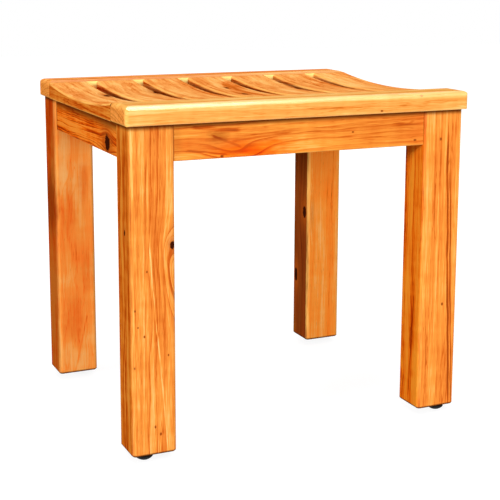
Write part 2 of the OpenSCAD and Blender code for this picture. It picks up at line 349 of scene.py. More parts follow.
# How dark a growth ring is from its spring wood to its end
RING_PROFILE = [(0.0, 0.0), (0.5, 0.12), (0.8, 0.5), (0.91, 1.0), (0.965, 0.75), (1.0, 0.0)]
SAPWOOD = (1.0, 0.66, 0.25, 1)
DARK_FIBRE = (0.34, 0.055, 0.004, 1)
RED_WOOD = (0.74, 0.17, 0.018, 1)
PORE = (0.36, 0.10, 0.012, 1)
# Browns of a painted cast shadow on one face of a board
FACE_SHADOW = ((0.30, 0.052, 0.007, 1), (0.15, 0.024, 0.004, 1))
END_GRAIN = ((0.97, 0.34, 0.055, 1), (0.46, 0.080, 0.006, 1))
KNOT_RIM = (0.50, 0.095, 0.008, 1)
KNOT_CORE = (0.045, 0.007, 0.002, 1)
# Pale eased edges: wear, and a painted highlight
WORN_EDGE_HIGHLIGHT = (1.0, 0.52, 0.12, 1)
# Dark seams, and painted shade under the seat and the legs
JOINT_DIRT_AND_SHADE = (0.055, 0.010, 0.002, 1)
# Painted shade deep in the slots
SLOT_SHADE = (0.40, 0.062, 0.003, 1)


def growth_rings(graph, given, slow):
    """Rings about the pith: how far through its ring a place is, and how dark its late wood is."""
    bend = graph.vector("SCALE", graph.stretch(slow, 0, 2, 2), scale=given["Wobble"])
    bent = graph.vector("ADD", given["Point"], bend)
    lean = graph.vector("SCALE", given["Tilt"], scale=graph.split(bent)["X"])
    from_pith = graph.vector("SUBTRACT", graph.vector("SUBTRACT", bent, given["Pith"]), lean)
    radius = graph.vector("LENGTH", graph.stretch(from_pith, 0, 1, 1))
    year = graph.math("ADD", graph.math("DIVIDE", radius, given["Width"]), given["Rings"])
    uneven = graph.noise_1d(graph.math("ADD", graph.times(year, 0.55), given["Seed"]), detail=1)
    year = graph.weighted(year, (uneven, 1.9))
    profile = graph.ramp(graph.math("FRACT", year), RING_PROFILE)
    number = graph.math("ADD", graph.math("FLOOR", year), given["Seed"])
    own = graph.add("ShaderNodeTexWhiteNoise", {"W": number}, noise_dimensions="1D")
    strength = graph.spread(own.outputs["Value"], 0.0, 1.0, 0.25, 1.15)
    late = graph.times(profile, strength, given["Contrast"])
    return profile, graph.math("MULTIPLY_ADD", graph.times(late, given["Swirl"]), 1.5, late)


def darkness(graph, given, figure, late, side):
    """From pale spring wood, near 0, to dark fibres, near 1. It differs more on the sides."""
    dark = graph.weighted(
        graph.math("ADD", late, given["Base"]),
        (figure.band, given["Broad"]),
        (figure.stripe, graph.times(given["Streak"], 1.7)),
        (figure.fibre, graph.times(given["Streak"], 1.6)),
        (figure.cloud, given["Cloud"]),
        (figure.ripple, 0.35),
    )
    thread = graph.soft(graph.math("ABSOLUTE", graph.math("SUBTRACT", figure.thread, 0.5)), 0.028, 0.006)
    thread = graph.times(thread, graph.spread(figure.band, 0.35, 0.6))
    dark = graph.math("ADD", graph.math("MULTIPLY_ADD", thread, 0.4, dark), given["Lines"])
    return graph.math("MULTIPLY_ADD", graph.times(graph.math("SUBTRACT", dark, 0.45), side), 1.1, dark)


def fibre_color(graph, given, figure, pores, dark, side):
    """The colour along the board, redder in patches, with painted shade on the faces that look along the
    part's X: a darker and redder tint.
    """
    color = graph.mix(graph.spread(dark, 0.0, 0.9), given["Early"], given["Late"])
    color = graph.mix(graph.times(graph.spread(dark, 0.1, -0.6), given["Pale"]), color, SAPWOOD)
    color = graph.mix(graph.spread(dark, 0.75, 1.6), color, DARK_FIBRE)
    color = graph.mix(graph.times(graph.soft(figure.cloud, 0.45, 0.72), given["Red"]), color, RED_WOOD)
    color = graph.mix(graph.times(pores, 0.38), color, PORE)
    # painted shade: the faces along the part's X take a darker, redder tint
    return graph.mix(side, color, graph.mix(1.0, color, given["Side Tint"], blend="MULTIPLY"))


def add_face_shadow(graph, given, figure, slow, color):
    """A painted cast shadow: dark brown on one face of the board, with a wavy edge."""
    straight = graph.vector("DOT_PRODUCT", given["Plain"], given["Heart"])
    inward = graph.math("ADD", straight, graph.times(graph.split(slow)["Y"], 9.0))
    shadowed = graph.soft(graph.math("SUBTRACT", inward, given["Heart At"]), 0.0, 2.2)
    brown = graph.mix(graph.spread(figure.stripe, 0.3, 0.7), *FACE_SHADOW)
    return graph.mix(graph.times(shadowed, 0.92), color, brown)


def add_end_grain(graph, figure, profile, end, color):
    """End grain drinks more oil."""
    ringed = graph.weighted(graph.times(profile, 0.55), (figure.speckle, 1.9), (figure.stripe, 0.6))
    return graph.mix(graph.times(end, 0.9), color, graph.mix(graph.spread(ringed, -0.1, 0.8), *END_GRAIN))


def add_wear_and_highlight(graph, given, figure, color):
    """Eased edges are paler, partly from wear and partly as a painted highlight: there the surface looks
    two ways at once.
    """
    look = graph.split(given["Normal"])
    ridges = [graph.math("ABSOLUTE", graph.times(look[one], look[two])) for one, two in ("XY", "YZ", "ZX")]
    worn = graph.times(
        graph.soft(graph.highest(*ridges), 0.08, 0.42),
        graph.spread(figure.wear, 0.3, 0.7, 0.25, 1.0),
        graph.math("SUBTRACT", 1.0, given["Core"]),
    )
    return graph.mix(graph.times(worn, given["Worn"]), color, WORN_EDGE_HIGHLIGHT)


def make_wood_group():
    """Softwood in millimetres with its grain along X."""
    tree, graph, given, out = new_group(
        "oiled_wood",
        {
            "vector": "Point, Plain, Normal, Pith, Tilt, Side, Heart",
            "color": "Early, Late, Side Tint",
            "number": "Rings, Core, Rim, Swirl, Lines, Joint, Seed, Width, Contrast, Wobble, Streak, "
                      "Cloud, Red, Base, Broad, Pale, Worn, Rough, Heart At",
        },
        {"color": "Color", "number": "Roughness, Height"},
    )
    seeded = graph.vector("SCALE", (37.1, 11.3, 5.7), scale=given["Seed"])
    point = graph.vector("ADD", given["Point"], seeded)
    figure = SimpleNamespace(**{name: graph.grain(point, *how) for name, how in FIGURES.items()})
    pores = graph.spread(figure.dash, 0.66, 0.76)
    # the trunk isn't straight: the grain wanders slowly
    slow = graph.drift(point, 0.0065, 0.018)
    profile, late = growth_rings(graph, given, slow)
    sideways = graph.math("ABSOLUTE", graph.vector("DOT_PRODUCT", given["Normal"], given["Side"]))
    side = graph.soft(sideways, 0.35, 0.95)
    end = graph.soft(graph.math("ABSOLUTE", graph.split(given["Normal"])["X"]), 0.7, 0.95)

    color = fibre_color(graph, given, figure, pores, darkness(graph, given, figure, late, side), side)
    # painted cast shadow on one face
    color = add_face_shadow(graph, given, figure, slow, color)
    color = graph.mix(graph.times(given["Rim"], 0.9), color, KNOT_RIM)
    color = graph.mix(given["Core"], color, KNOT_CORE)
    color = add_end_grain(graph, figure, profile, end, color)
    # wear and painted highlight on the eased edges
    color = add_wear_and_highlight(graph, given, figure, color)
    # dark seams, with painted shade below the seat and on the eased edge under the legs
    graph.put(out["Color"], graph.mix(graph.times(given["Joint"], 0.9), color, JOINT_DIRT_AND_SHADE))

    rough = graph.weighted(
        given["Rough"], (figure.fibre, 0.16), (figure.cloud, 0.10), (figure.ripple, 0.04))
    for value, weight in ((end, 0.16), (pores, 0.12), (given["Core"], 0.12)):
        rough = graph.math("ADD", rough, graph.times(value, weight))
    graph.put(out["Roughness"], rough)
    height = graph.weighted(0.5, (figure.fibre, 0.5), (figure.stripe, 0.25))
    for value, weight in ((pores, 0.35), (late, 0.18), (given["Core"], 0.7)):
        height = graph.math("SUBTRACT", height, graph.times(value, weight))
    graph.put(out["Height"], height)
    return tree


KNOT = make_knot_group()
SPECK = make_speck_group()
LINE = make_line_group()
STAIN = make_stain_group()
WOOD = make_wood_group()

# Turns the part's axes so that the grain lies along X
GRAIN_TURNS = {"x": (0, 0, 0), "y": (0, 0, -math.pi / 2), "z": (0, math.pi / 2, 0)}
AXES = {"x": (1, 0, 0), "y": (0, 1, 0), "z": (0, 0, 1)}


class Board:
    """One wooden node's material, and places and directions on it with the grain along X."""

    def __init__(self, node, grain):
        self.grain = grain
        self.material, self.graph, self.shader = new_material("wood_" + node)
        low, high = box_mm(node)
        self.centre = (low + high) / 2
        self.place = self.graph.add("ShaderNodeTexCoord").outputs
        turn = GRAIN_TURNS[grain]
        self.point = self.graph.add("ShaderNodeMapping", {
            "Vector": self.place["Object"], "Scale": (1 / MM,) * 3, "Rotation": turn,
            "Location": tuple(-v for v in self.towards(self.centre)),
        }).outputs[0]
        self.normal = self.graph.add(
            "ShaderNodeMapping", {"Vector": self.place["Normal"], "Rotation": turn}, vector_type="NORMAL",
        ).outputs[0]

    def towards(self, direction):
        x, y, z = direction
        return {"x": (x, y, z), "y": (y, -x, z), "z": (z, y, -x)}[self.grain]

    def at(self, place):
        return self.towards(Vector(place) - self.centre)

    def across(self, pair):
        """Two numbers, for the part's two axes across the grain in their order."""
        first, second = pair
        return {"x": (0, first, second), "y": (0, -first, second), "z": (0, second, -first)}[self.grain]

    def spot(self):
        """The part's own coordinates."""
        return self.graph.vector("SCALE", self.place["Object"], scale=1 / MM)


# What a knot is unless its own line says otherwise
KNOT_SHAPE = {
    "through": "y", "radius": 3.0, "long": 1.4, "reach": 4.0, "reach_long": 2.5,
    "bend": 0.75, "hill": 0.0, "dark": 1.0, "depth": 18.0,
}
SPECK_RADIUS = 1.05


def add_marks(board, knots, specks, lines):
    """Chains the knots, pin knots and lines, and gives what the wood needs to know of them."""
    graph = board.graph
    marks = {"Point": board.point, "Rings": 0.0, "Core": 0.0, "Rim": 0.0, "Swirl": 0.0}
    for knot in knots:
        shape = {**KNOT_SHAPE, **knot}
        branch = Vector(board.towards(AXES[shape["through"]]))
        result = graph.use(KNOT, {
            **marks, "Centre": board.at(shape["at"]),
            "Branch": branch, "Across": Vector(AXES["x"]).cross(branch),
            "Depth": shape["depth"], "Radius": shape["radius"], "Long": shape["long"],
            "Reach": shape["reach"], "Reach Long": shape["reach_long"], "Bend": shape["bend"],
            "Hill": shape["hill"], "Dark": shape["dark"],
        })
        marks = {name: result[name] for name in marks}
    for place, size in specks:
        result = graph.use(SPECK, {
            "Point": board.point, "Core": marks["Core"], "Rim": marks["Rim"],
            "Centre": board.at(place), "Radius": SPECK_RADIUS * size,
        })
        marks["Core"], marks["Rim"] = result["Core"], result["Rim"]
    drawn = 0.0
    for first, last, across, width, dark in lines:
        drawn = graph.use(LINE, {
            "Point": board.point, "Lines": drawn, "From": board.at(first), "To": board.at(last),
            "Across": board.towards(AXES[across]), "Width": width, "Dark": dark,
        })["Lines"]
    return {**marks, "Lines": drawn}


def joint_dirt_and_shade(board, joints, sole):
    """Oil and dust darken where boards meet, at planes this far from the part's middle planes; the same
    darkening below the seat's underside and on the eased edge under a leg is painted shade."""
    graph = board.graph
    dirt_and_shade = 0.0
    if joints:
        planes, reach = joints
        off_planes = graph.vector("SUBTRACT", graph.vector("ABSOLUTE", board.spot()), planes)
        gap = graph.vector("ABSOLUTE", off_planes)
        near = graph.split(graph.vector("SUBTRACT", (1, 1, 1), graph.vector("DIVIDE", gap, reach)))
        dirt_and_shade = graph.soft(graph.highest(near["X"], near["Y"], near["Z"]), 0.0, 0.85)
    if sole:
        dirt_and_shade = graph.highest(dirt_and_shade, graph.soft(graph.split(board.spot())["Z"], sole + 3.4, sole + 1.2))
    return dirt_and_shade


def slot_shade(board, color, walls):
    """Painted shade low in the slots, under the curve of the scoop, less at their back ends."""
    graph = board.graph
    spot = graph.split(board.spot())
    squared = graph.times(spot["Y"], spot["Y"])
    curve = graph.math("MULTIPLY_ADD", squared, 1 / (2 * SCOOP_RADIUS), SCOOP_BOTTOM)
    deep = graph.soft(graph.math("SUBTRACT", curve, spot["Z"]), 1.0, 3.6)
    front = graph.soft(spot["Y"], 118.0, 45.0, 0.12, 1.0)
    facing = graph.split(board.place["Normal"])["X"]
    if walls == "both":
        facing = graph.math("ABSOLUTE", facing)
    elif walls == "left":
        facing = graph.times(facing, -1.0)
    return graph.mix(graph.times(deep, front, graph.soft(facing, 0.8, 0.98), 0.85), color, SLOT_SHADE)


# Painted light: a rail's inner face, painted paler near its top, where the slot ends catch the light
SLOT_END_LIGHT_COLOR = (1.0, 0.84, 0.27, 1)
SLOT_END_LIGHT_LOW, SLOT_END_LIGHT_HIGH = 390.5, 395.5


def slot_end_light(board, color, towards):
    graph = board.graph
    facing = graph.soft(graph.vector("DOT_PRODUCT", board.place["Normal"], towards), 0.7, 0.95)
    high = graph.soft(graph.split(board.spot())["Z"], SLOT_END_LIGHT_LOW, SLOT_END_LIGHT_HIGH, 0.35, 1.0)
    return graph.mix(graph.times(facing, high), color, SLOT_END_LIGHT_COLOR)


def set_gloss(board, gloss, polished, core, dirt_and_shade, side):
    """Knots, dirty seams, the painted shade under the seat and the legs, and the sides are duller, and
    hands polish the rounded edges.
    """
    graph = board.graph
    socket = board.shader.inputs["Specular IOR Level"]
    socket.default_value = gloss
    if polished:
        look = graph.split(board.place["Normal"])
        ridge = graph.math("ABSOLUTE", graph.times(look["Y"], look["Z"]))
        graph.put(socket, graph.soft(ridge, 0.12, 0.40, gloss, polished))
    elif gloss:
        dull = graph.highest(core, dirt_and_shade)
        if side:
            dull = graph.highest(dull, graph.math("ABSOLUTE", graph.split(board.place["Normal"])["X"]))
        graph.put(socket, graph.spread(dull, 0.0, 1.0, gloss, 0.0))


def wood(
    node, grain, early, late, pith=(0, 0), tilt=(0, 0), width=4.0, contrast=0.6, wobble=5.0, seed=0.0,
    streak=0.8, cloud=0.5, red=0.0, base=0.2, broad=1.3, pale=0.65, worn=0.3, side=None, shadow_at=None,
    rough=0.6, gloss=0.03, polished=0.0, joints=None, sole=None, slot_walls=None, lit_facing=None,
    knots=(), specks=(), lines=(), stains=(),
):
    """Gives a wooden node its own board. side is the tint of painted shade on the two faces that look along
    the part's X. A painted cast shadow darkens the face towards -X from a given distance left of the
    board's middle."""
    board = Board(node, grain)
    graph, shader = board.graph, board.shader
    marks = add_marks(board, knots, specks, lines)
    dirt_and_shade = joint_dirt_and_shade(board, joints, sole)
    surface = graph.use(WOOD, {
        **marks, "Joint": dirt_and_shade, "Plain": board.point, "Normal": board.normal, "Seed": seed,
        "Pith": board.across(pith), "Tilt": board.across(tilt), "Width": width,
        "Contrast": contrast, "Wobble": wobble, "Streak": streak, "Cloud": cloud, "Red": red,
        "Base": base, "Broad": broad, "Pale": pale, "Worn": worn, "Rough": rough,
        "Early": (*early, 1), "Late": (*late, 1),
        "Side": board.towards(AXES["x"]) if side else (0, 0, 0), "Side Tint": (*(side or (1, 1, 1)), 1),
        "Heart": board.towards((-1, 0, 0)) if shadow_at else (0, 0, 0), "Heart At": shadow_at or NOWHERE,
    })
    color = surface["Color"]
    for place, size, tint, amount in stains:
        color = graph.use(STAIN, {
            "Point": board.point, "Color": color, "Centre": board.at(place),
            "Size": tuple(abs(v) for v in board.towards(size)), "Tint": (*tint, 1), "Amount": amount,
        })["Color"]
    # painted shade low in the slots
    if slot_walls:
        color = slot_shade(board, color, slot_walls)
    # painted light on a rail's inner face near its top
    if lit_facing:
        color = slot_end_light(board, color, lit_facing)
    relief = {"Height": surface["Height"], "Strength": 0.5, "Distance": 0.25 * MM}
    bump = graph.add("ShaderNodeBump", relief)
    graph.put(shader.inputs["Base Color"], color)
    graph.put(shader.inputs["Roughness"], surface["Roughness"])
    graph.put(shader.inputs["Normal"], bump.outputs[0])
    shader.inputs["IOR"].default_value = 1.48
    set_gloss(board, gloss, polished, marks["Core"], dirt_and_shade, side)
    dress(node, board.material)


# The boards
# Spring wood and late wood of each kind
PALE = ((0.85, 0.412, 0.096), (0.71, 0.193, 0.019))
SEAT = ((0.99, 0.46, 0.120), (0.76, 0.160, 0.014))
HONEY = ((0.85, 0.302, 0.045), (0.585, 0.101, 0.0055))
WARM_HONEY = ((0.91, 0.322, 0.047), (0.62, 0.107, 0.006))
COPPER = ((1.0, 0.325, 0.050), (1.0, 0.160, 0.011))
ORANGE = ((1.0, 0.335, 0.042), (1.0, 0.20, 0.010))
AMBER = ((0.97, 0.36, 0.046), (0.66, 0.110, 0.005))
DEEP_AMBER = ((0.88, 0.327, 0.042), (0.60, 0.100, 0.0045))
# Painted shade: a darker, redder tint for the faces that look along X
SHADED_SIDE = (0.80, 0.50, 0.18)
# Planes along X, Y and Z where the wood darkens, and how far the darkening reaches: below the seat's
# underside it is painted shade, elsewhere dark seams where boards meet
SHADE_UNDER_SEAT = ((NOWHERE, NOWHERE, SEAT_UNDERSIDE), (1, 1, 7.0))
LONG_APRON = ((INNER_X, NOWHERE, SEAT_UNDERSIDE), (0.8, 1, 7.5))
SIDE_APRON = ((NOWHERE, INNER_Y, SEAT_UNDERSIDE), (1, 3.0, 17.0))
SEAT_JOINT = ((NOWHERE, INNER_Y, NOWHERE), (1, 0.7, 1))

# A speck is a place and a size. A line is its two ends, the axis across it, its width and its darkness,
# which is below 0 where the line is pale. A stain is a place, its half sizes, a tint and its strength.
wood(
    "leg_front_left", "z", *HONEY, side=SHADED_SIDE, joints=SHADE_UNDER_SEAT, sole=SOLE,
    pith=(-78, 26), tilt=(0.012, 0.0), width=6.5, contrast=0.62, wobble=9, streak=0.85, broad=1.0, seed=1.3,
    knots=[
        dict(at=(-161.7, FRONT_FACE, 246.0), radius=3.0, long=1.5, reach=4.2, reach_long=2.6,
             bend=0.8, hill=0.4, depth=20),
        dict(at=(-157.0, FRONT_FACE, 214.0), radius=5.0, long=1.0, reach=2.6, reach_long=3.0,
             bend=0.2, hill=4.6, dark=0.0, depth=24),
        dict(at=(LEFT_FACE, -154.8, 259.8), through="x", radius=2.0, long=1.8, depth=10),
    ],
    specks=[
        ((-205.6, FRONT_FACE, 176.4), 0.9), ((-202.4, FRONT_FACE, 157.4), 0.7),
        ((-195.1, FRONT_FACE, 146.4), 0.9), ((-167.5, FRONT_FACE, 122.2), 0.8),
        ((-207.0, FRONT_FACE, 111.7), 1.0), ((-183.5, FRONT_FACE, 41.1), 1.0),
        ((-177.2, FRONT_FACE, 31.9), 1.1), ((-191.4, FRONT_FACE, 218.9), 0.8),
    ],
    lines=[
        ((-208.0, FRONT_FACE, 372), (-206.0, FRONT_FACE, 300), "x", 1.8, -0.9),
        ((-188.0, FRONT_FACE, 250), (-170.0, FRONT_FACE, 20), "x", 1.2, -0.8),
        ((-190.0, FRONT_FACE, 372), (-196.0, FRONT_FACE, 60), "x", 1.0, 0.45),
    ],
)
wood(
    "leg_front_right", "z", *WARM_HONEY, side=(1.0, 0.57, 0.12), joints=SHADE_UNDER_SEAT, sole=SOLE,
    pith=(64, -60), tilt=(0.0, 0.02), width=7.0, contrast=0.45, wobble=7, streak=0.6, base=0.12, seed=4.1,
    specks=[((179.9, FRONT_FACE, 343.4), 1.2), ((188.9, FRONT_FACE, 139.2), 1.2)],
    lines=[
        ((190.0, FRONT_FACE, 335), (201.0, FRONT_FACE, 25), "x", 2.0, 1.9),
        ((195.0, FRONT_FACE, 300), (205.0, FRONT_FACE, 25), "x", 1.5, 1.3),
        ((INNER_X, -158.6, 144), (INNER_X, -150.7, 26), "y", 1.2, 0.8),
    ],
)
wood(
    "leg_back_left", "z", *COPPER, side=(0.56, 0.25, 0.08), joints=SHADE_UNDER_SEAT, sole=SOLE,
    pith=(20, -110), tilt=(0.03, 0.0), width=9.0, contrast=0.4, wobble=14, streak=0.42, cloud=1.7,
    base=0.0, broad=1.0, worn=0.4, seed=7.7,
    lines=[((-172.0, INNER_Y, 86), (-188.0, INNER_Y, 12), "x", 1.8, 0.55)],
    stains=[
        ((LEFT_FACE, 152.0, 238), (8, 42, 58), (0.55, 0.36, 0.25), 0.9),
        ((-194.0, INNER_Y, 226), (14, 8, 46), (0.94, 0.70, 0.50), 0.9),
        ((-172.0, INNER_Y, 268), (10, 8, 40), (0.90, 0.64, 0.45), 0.8),
        ((-168.0, INNER_Y, 150), (12, 8, 40), (0.92, 0.68, 0.48), 0.9),
        ((-190.0, INNER_Y, 84), (18, 8, 44), (0.92, 0.68, 0.50), 0.8),
    ],
)
# The back right leg's face towards -X is painted dark brown as the cast shadow of the front left leg
wood(
    "leg_back_right", "z", *ORANGE, side=SHADED_SIDE, joints=SHADE_UNDER_SEAT, sole=SOLE, shadow_at=23.6,
    pith=(70, 30), tilt=(0.0, 0.01), width=6.0, contrast=0.5, wobble=8, streak=0.6, cloud=0.9,
    broad=1.4, worn=0.95, seed=2.9,
    knots=[
        dict(at=(INNER_X, 137.9, 197.7), through="x", radius=5.0, long=1.8, depth=12),
        dict(at=(INNER_X, 163.0, 99.7), through="x", radius=4.6, long=2.2, depth=12),
    ],
)
wood(
    "apron_front", "x", *DEEP_AMBER, joints=LONG_APRON,
    pith=(20, -70), tilt=(0.0, 0.04), width=6.0, contrast=0.5, wobble=10, streak=0.65, red=0.5,
    base=0.24, seed=3.3,
    knots=[
        dict(at=(-84.0, APRON_FACE, 341.0), radius=9, long=1.5, reach=1.7, reach_long=2.6,
             bend=0.1, hill=2.4, dark=0.0, depth=14),
    ],
    lines=[
        ((-134.0, APRON_FACE, 372), (-84.0, APRON_FACE, 367), "z", 3.2, 0.9),
        ((-112.0, APRON_FACE, 362), (-80.0, APRON_FACE, 349), "z", 2.2, 1.0),
        ((-140.0, APRON_FACE, 347), (-96.0, APRON_FACE, 341), "z", 1.6, 1.1),
        ((-88.0, APRON_FACE, 355), (-20.0, APRON_FACE, 361), "z", 1.8, 0.7),
    ],
    stains=[
        ((-66.0, APRON_FACE, 345), (70, 8, 15), (1.0, 0.62, 0.14), 1.0),
        ((-62.0, APRON_FACE, 343), (30, 8, 7), (1.0, 0.62, 0.16), 1.0),
        ((-106.0, APRON_FACE, 361), (17, 8, 10), (0.62, 0.50, 0.34), 0.85),
    ],
    specks=[
        ((-101.6, APRON_FACE, 339.4), 1.3), ((62.2, APRON_FACE, 357.5), 0.9),
        ((146.2, APRON_FACE, 343.5), 1.2),
    ],
)
wood(
    "apron_back", "x", *AMBER, joints=LONG_APRON,
    pith=(-20, 60), tilt=(0.0, -0.03), width=5.5, contrast=0.5, wobble=9, seed=9.2,
    specks=[((40.0, -APRON_FACE, 350.0), 1.2)],
)
wood(
    "apron_left", "y", *AMBER, side=(0.98, 0.53, 0.17), joints=SIDE_APRON,
    pith=(20, 60), width=3.6, contrast=1.0, wobble=9, broad=1.6, seed=5.5,
    knots=[
        dict(at=(APRON_SIDE_FACE, -86.0, 349.0), through="x", radius=9.2, long=0.95, reach=1.7,
             reach_long=1.4, bend=0.8, hill=0.5, depth=14),
    ],
    specks=[((APRON_SIDE_FACE, -103.2, 351.1), 0.9)],
)
wood(
    "apron_right", "y", *AMBER, side=(0.90, 0.60, 0.24), joints=SIDE_APRON,
    pith=(-15, -60), tilt=(0.0, 0.02), width=4.5, wobble=8, seed=6.1,
    specks=[((-APRON_SIDE_FACE, 30.0, 352.0), 1.1)],
)
wood(
    "seat_rail_front", "x", *PALE, rough=0.24, gloss=0.0, polished=0.88, lit_facing=(0, 1, 0),
    pith=(30, -90), tilt=(0.02, 0.0), width=5.0, contrast=0.45, wobble=6, streak=0.6, cloud=0.25,
    base=0.06, pale=1.0, worn=0.6, seed=8.4,
    specks=[((95.4, RAIL_FACE, 381.2), 1.0), ((149.1, RAIL_FACE + 1.5, 396.2), 1.2)],
)
wood(
    "seat_rail_back", "x", *SEAT, rough=0.3, gloss=0.0, polished=0.5, lit_facing=(0, -1, 0),
    pith=(-30, -80), tilt=(-0.01, 0.0), width=5.0, contrast=0.45, wobble=6, streak=0.6, cloud=0.25,
    base=0.3, pale=0.8, seed=12.6,
)

SLATS = range(1, 8)
# Each knot's place, its radius and how long it is for its width
SLAT_KNOTS = {
    1: [((-170.5, 24.9, 389.8), 3.4, 2.2)],
    2: [((-102.0, 34.5, 389.9), 4.6, 2.4)],
    4: [((-1.3, 49.9, 390.5), 2.2, 2.0), ((-5.9, -17.1, 389.6), 2.9, 2.6)],
    5: [((87.0, 20.0, 389.8), 3.2, 4.0)],
}
SLOT_WALLS = {SLATS[0]: "right", SLATS[-1]: "left"}
for number in SLATS:
    wood(
        f"slat_{number}", "y", *SEAT, side=SHADED_SIDE if number == SLATS[0] else (1.0, 0.86, 0.7),
        gloss=0.0, joints=SEAT_JOINT, slot_walls=SLOT_WALLS.get(number, "both"),
        pith=((-1) ** number * 14, -55 - 6 * (number % 3)), tilt=(0.01 * (number % 3 - 1), 0.02),
        width=5.0 + 0.4 * number, wobble=8, streak=0.85, red=0.35, pale=1.0, worn=0.9,
        seed=20.0 + 3.7 * number,
        knots=[
            dict(at=place, through="z", radius=radius, long=long, depth=14)
            for place, radius, long in SLAT_KNOTS.get(number, ())
        ],
    )

BLOCK_SEEDS = dict(zip(CORNERS, (62.0, 58.7, 60.3, 57.0)))
for corner, seed in BLOCK_SEEDS.items():
    wood(f"corner_block_{corner}", "z", *AMBER, pith=(30, 30), wobble=4, seed=seed)


# Metal and plastic
def finish(name, color, second, roughness, metallic=0.0, grain=400, gloss=0.5):
    """A finely mottled surface between two colours. grain is its changes per metre."""
    material, graph, shader = new_material(name)
    place = graph.add("ShaderNodeTexCoord").outputs["Object"]
    fine = graph.grain(place, grain, grain, detail=4, rough=0.6)
    broad = graph.grain(place, 60, 60)
    bump = graph.add("ShaderNodeBump", {"Height": fine, "Strength": 0.2, "Distance": 0.05 * MM})
    mottled = graph.mix(graph.spread(broad, 0.35, 0.7), (*color, 1), (*second, 1))
    graph.put(shader.inputs["Base Color"], mottled)
    graph.put(shader.inputs["Roughness"], graph.weighted(roughness, (fine, 0.12), (broad, 0.12)))
    graph.put(shader.inputs["Normal"], bump.outputs[0])
    shader.inputs["Metallic"].default_value = metallic
    shader.inputs["Specular IOR Level"].default_value = gloss
    return material


ZINC = finish("zinc_plate", (0.66, 0.66, 0.65), (0.52, 0.53, 0.55), roughness=0.32, metallic=1.0)
BRASS = finish("brass", (0.78, 0.56, 0.25), (0.60, 0.40, 0.16), roughness=0.3, metallic=1.0)
BLACK = finish(
    "black_nylon", (0.008, 0.008, 0.009), (0.014, 0.013, 0.013), roughness=0.6, grain=900, gloss=0.12)
dress("corner_block_screws", ZINC)
dress("seat_screws", ZINC)


# The feet
def lathe(name, rings, segments, x, y, material):
    """A closed piece round the upright axis at x, y. Each ring is a function of the turn from
    0 to 1 that gives its radius and height; the first and the last ring are capped."""
    points, faces = [], []
    for ring in rings:
        for k in range(segments):
            radius, z = ring(k / segments)
            turn = 2 * math.pi * k / segments
            points.append(((x + radius * math.cos(turn)) * MM, (y + radius * math.sin(turn)) * MM, z * MM))
    for r in range(len(rings) - 1):
        for k in range(segments):
            a, b = r * segments + k, r * segments + (k + 1) % segments
            faces.append((a, b, b + segments, a + segments))
    faces.append(tuple(reversed(range(segments))))
    faces.append(tuple(range(len(points) - segments, len(points))))
    mesh = bpy.data.meshes.new(name)
    mesh.from_pydata(points, [], faces)
    mesh.materials.append(material)
    for face in mesh.polygons:
        face.use_smooth = True
    mesh.set_sharp_from_angle(angle=math.radians(35))
    obj = bpy.data.objects.new(name, mesh)
    scene.collection.objects.link(obj)
    return obj


THREAD_PITCH = 1.0
THREAD_DEPTH = 0.55
THREAD_CHAMFER = 1.0
RINGS_PER_TURN = 8
STUD_SEGMENTS = 32


def stud_rings(radius, bottom, top):
    """A rolled thread from bottom to top, run out at both ends."""
    steps = round((top - bottom) / THREAD_PITCH * RINGS_PER_TURN)

    def ring(z):
        def at(turn):
            across = (z / THREAD_PITCH - turn) % 1
            groove = THREAD_DEPTH * min(1.0, 1.25 * abs(2 * across - 1))
            taper = max(0.0, THREAD_CHAMFER - min(z - bottom, top - z))
            return min(radius - groove, radius - taper), z
        return at
    return [ring(bottom + (top - bottom) * k / steps) for k in range(steps + 1)]


PAD_FLAT = 7.0
PAD_DOME = 4.0
DOME_RINGS = 8
FLUTES, FLUTE_DEPTH = 24, 0.4
PAD_SEGMENTS = FLUTES * 8
RIBS, RIB_DEPTH = 8, 0.7
# The moulding pip: its radius at its end, its radius at the sole, and how far it is sunk
PIP_TIP, PIP_FOOT, PIP_SUNK = 1.2, 1.35, 0.35


def pad_rings(radius, height, bore, socket):
    """A moulded pad: a moulding pip under a domed sole, a fluted rim and a ribbed top."""
    middle = ((2 * radius) ** 2 - PAD_FLAT ** 2) / (8 * PAD_DOME) + PAD_DOME / 2
    sphere = math.hypot(middle, PAD_FLAT / 2)

    def round_ring(r, z):
        return lambda turn: (r, z)

    def fluted(r, z, depth):
        return lambda turn: (r - depth * max(0.0, math.cos(2 * math.pi * turn * FLUTES)) ** 2, z)

    def ribbed(r, z):
        def at(turn):
            between = 2.2 - 3.2 * math.cos(math.pi * turn * RIBS) ** 2
            return r, z - RIB_DEPTH * min(1.0, max(0.0, between))
        return at

    rings = [round_ring(PIP_TIP - 0.3, PIP_SUNK), round_ring(PIP_TIP, PIP_SUNK)]
    rings += [round_ring(PIP_FOOT, 0.0), round_ring(PAD_FLAT / 2 - 0.3, 0.0)]
    for k in range(DOME_RINGS + 1):
        z = PAD_DOME * k / DOME_RINGS
        r = math.sqrt(max(0.0, sphere ** 2 - (middle - z) ** 2))
        rings.append(fluted(r, z, FLUTE_DEPTH * max(0.0, (k - 5) / 3)))
    edge = (height - PAD_DOME) / 2
    rings += [fluted(radius, PAD_DOME + edge * up, FLUTE_DEPTH) for up in (0.3, 0.8)]
    rings += [round_ring(radius - edge * 0.3, height - edge * 0.45)]
    rings += [round_ring(radius - edge * 0.75, height - 0.06)]
    rings += [round_ring(radius - edge * inset, height) for inset in (1.2, 1.4)]
    inner = bore + 1.5
    rings += [ribbed(radius - edge * 1.7, height), ribbed(inner + 0.3, height), round_ring(inner, height)]
    rings += [round_ring(bore + 0.15, height), round_ring(bore, height - 0.15)]
    rings += [round_ring(bore, height - socket)]
    return rings


